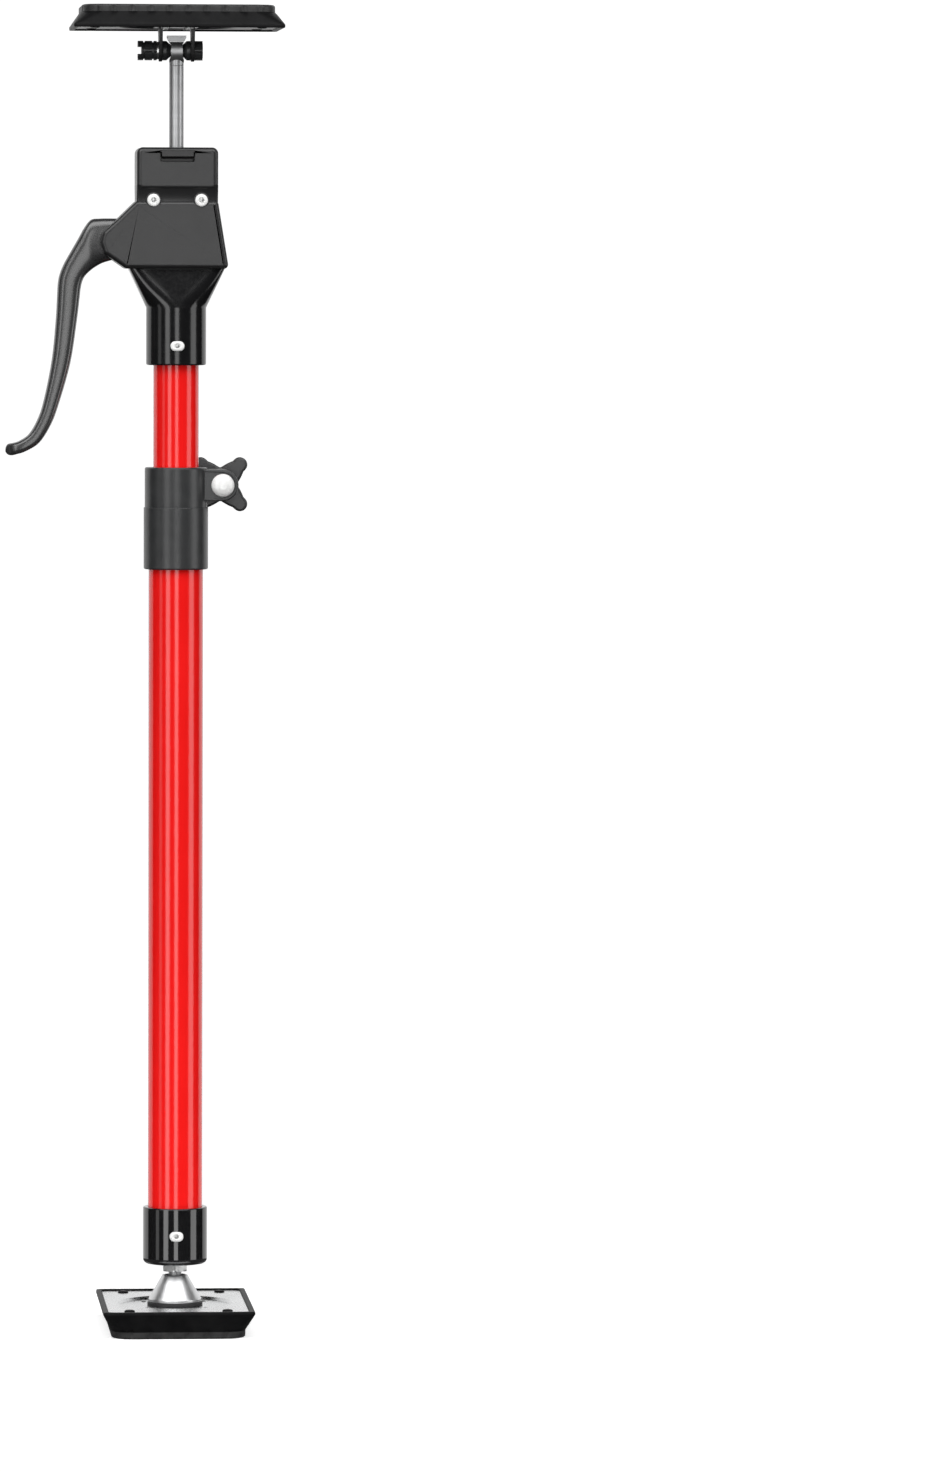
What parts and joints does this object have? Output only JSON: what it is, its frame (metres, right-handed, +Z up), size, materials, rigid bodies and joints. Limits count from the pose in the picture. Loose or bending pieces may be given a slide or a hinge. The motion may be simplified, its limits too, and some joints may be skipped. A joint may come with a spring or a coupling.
{
  "type": "telescopic support pole",
  "caption": "Short telescopic prop with a pump grip, a jamming lift rod, a tilting rubber head pad, a split clamp collar with a knob, and a ball-jointed rubber foot.",
  "frame": {"origin": "centre of the foot pad's contact face, on the pole's axis", "axes": "+Z up the pole; -Y the face with the release tab; +X the side with the clamp's ears; the lever is on -X"},
  "size_m": [0.1512, 0.115, 0.7276],
  "materials": {
    "foot_pad": "matte",
    "thrust_disc": "zinc plate",
    "foot_plate": "bright zinc plate",
    "backing_ring": "zinc plate",
    "foot_rivets": "zinc plate",
    "ball_bell": "polished",
    "bell_gasket": "matte",
    "ball_seat": "matte",
    "ball_stud": "zinc plate",
    "foot_lock_nut": "zinc plate",
    "foot_inner_nut": "zinc plate",
    "lower_end_cap": "glossy",
    "lower_cap_rivet": "white lacquer",
    "lower_tube": "glossy powder coat",
    "clamp_collar": "fine grained",
    "collar_bush": "matte",
    "clamp_bolt": "white lacquer on the head",
    "clamp_washer": "zinc plate",
    "clamp_knob": "fine grained",
    "clamp_nut": "zinc plate",
    "tube_guide_bush": "matte",
    "upper_tube": "glossy powder coat",
    "housing_front": "satin",
    "housing_rear": "satin",
    "housing_rivets": "white lacquer",
    "neck_rivet": "white lacquer",
    "rod_guide_bush": "matte",
    "lever_pin": "bright",
    "grip_lever": "satin gloss",
    "drive_plate": "hardened",
    "drive_spring": "spring wire",
    "lock_plate": "hardened",
    "lock_spring": "spring wire",
    "lift_rod": "ground and plated",
    "rod_stop_ring": "phosphated",
    "rod_eye": "die cast",
    "cone_washers": "glossy",
    "head_bracket": "black powder coat",
    "bracket_rivets": "zinc plate",
    "head_plate": "black powder coat",
    "head_bolt": "zinc plate",
    "head_cap": "glossy",
    "head_washer": "zinc plate",
    "head_knob": "glossy",
    "head_pad": "matte"
  },
  "bodies": {
    "foot": {"foot_pad": "foot_pad", "thrust_disc": "thrust_disc", "foot_plate": "foot_plate", "backing_ring": "backing_ring", "foot_rivets": "foot_rivets", "ball_bell": "ball_bell", "bell_gasket": "bell_gasket"},
    "seat": {"ball_seat": "ball_seat"},
    "lower_pole": {"ball_stud": "ball_stud", "foot_lock_nut": "foot_lock_nut", "foot_inner_nut": "foot_inner_nut", "lower_end_cap": "lower_end_cap", "lower_cap_rivet": "lower_cap_rivet", "lower_tube": "lower_tube", "clamp_collar": "clamp_collar", "collar_bush": "collar_bush", "clamp_bolt": "clamp_bolt"},
    "clamp_ring": {"clamp_washer": "clamp_washer"},
    "knob": {"clamp_knob": "clamp_knob", "clamp_nut": "clamp_nut"},
    "slider": {"tube_guide_bush": "tube_guide_bush"},
    "upper_pole": {"upper_tube": "upper_tube", "housing_front": "housing_front", "housing_rear": "housing_rear", "housing_rivets": "housing_rivets", "neck_rivet": "neck_rivet", "rod_guide_bush": "rod_guide_bush", "lever_pin": "lever_pin", "drive_spring": "drive_spring", "lock_spring": "lock_spring"},
    "lever": {"grip_lever": "grip_lever"},
    "jaw": {"drive_plate": "drive_plate"},
    "release_tab": {"lock_plate": "lock_plate"},
    "rod_slider": {"rod_stop_ring": "rod_stop_ring"},
    "rod": {"lift_rod": "lift_rod", "rod_eye": "rod_eye"},
    "head": {"head_bracket": "head_bracket", "bracket_rivets": "bracket_rivets", "head_plate": "head_plate", "head_pad": "head_pad", "head_bolt": "head_bolt", "head_cap": "head_cap", "cone_washers": "cone_washers"},
    "tilt_ring": {"head_washer": "head_washer"},
    "tilt_knob": {"head_knob": "head_knob"}
  },
  "joints": [
    {"name": "foot_swivel", "type": "hinge", "parent": "foot", "child": "seat", "pos_m": [0, 0, 0.0218], "axis": [0, 0, 1], "continuous": true},
    {"name": "pole_tilt", "type": "hinge", "parent": "seat", "child": "lower_pole", "pos_m": [0, 0, 0.0218], "axis": [1, 0, 0], "range_deg": [-14, 14]},
    {"name": "clamp_advance", "type": "slide", "parent": "lower_pole", "child": "clamp_ring", "axis": [0, 1, 0], "range_m": [0, 0.001]},
    {"name": "clamp_turn", "type": "hinge", "parent": "clamp_ring", "child": "knob", "pos_m": [0.0254, 0, 0.46531], "axis": [0, 1, 0], "range_deg": [0, 360]},
    {"name": "telescope", "type": "slide", "parent": "lower_pole", "child": "slider", "axis": [0, 0, 1], "range_m": [-0.053, 0.3]},
    {"name": "pole_turn", "type": "hinge", "parent": "slider", "child": "upper_pole", "pos_m": [0, 0, 0.12], "axis": [0, 0, 1], "continuous": true},
    {"name": "lever_squeeze", "type": "hinge", "parent": "upper_pole", "child": "lever", "pos_m": [-0.031, 0, 0.6021], "axis": [0, -1, 0], "range_deg": [0, 22], "stiffness_Nm_per_rad": 0.8, "springref_deg": -20.05},
    {"name": "drive_lift", "type": "slide", "parent": "upper_pole", "child": "jaw", "axis": [0, 0, 1], "range_m": [0, 0.0077], "deforming": ["drive_spring"]},
    {"name": "release_press", "type": "hinge", "parent": "upper_pole", "child": "release_tab", "pos_m": [0, -0.0115, 0.6443], "axis": [1, 0, 0], "range_deg": [0, 7], "stiffness_Nm_per_rad": 0.06, "springref_deg": -17.19, "deforming": ["lock_spring"]},
    {"name": "rod_lift", "type": "slide", "parent": "upper_pole", "child": "rod_slider", "axis": [0, 0, 1], "range_m": [-0.04, 0.07]},
    {"name": "rod_turn", "type": "hinge", "parent": "rod_slider", "child": "rod", "pos_m": [0, 0, 0.55], "axis": [0, 0, 1], "continuous": true},
    {"name": "head_tilt", "type": "hinge", "parent": "rod", "child": "head", "pos_m": [0, 0, 0.7032], "axis": [1, 0, 0], "range_deg": [-45, 45]},
    {"name": "head_knob_advance", "type": "slide", "parent": "head", "child": "tilt_ring", "axis": [-1, 0, 0], "range_m": [0, 0.0008]},
    {"name": "head_knob_turn", "type": "hinge", "parent": "tilt_ring", "child": "tilt_knob", "pos_m": [-0.015, 0, 0.7032], "axis": [-1, 0, 0], "range_deg": [0, 360]}
  ],
  "couplings": [
    {"joint": "clamp_advance", "follows": "clamp_turn", "m_per_rad": 0.000159},
    {"joint": "drive_lift", "follows": "lever_squeeze", "m_per_rad": 0.019874},
    {"joint": "head_knob_advance", "follows": "head_knob_turn", "m_per_rad": 0.000127}
  ]
}
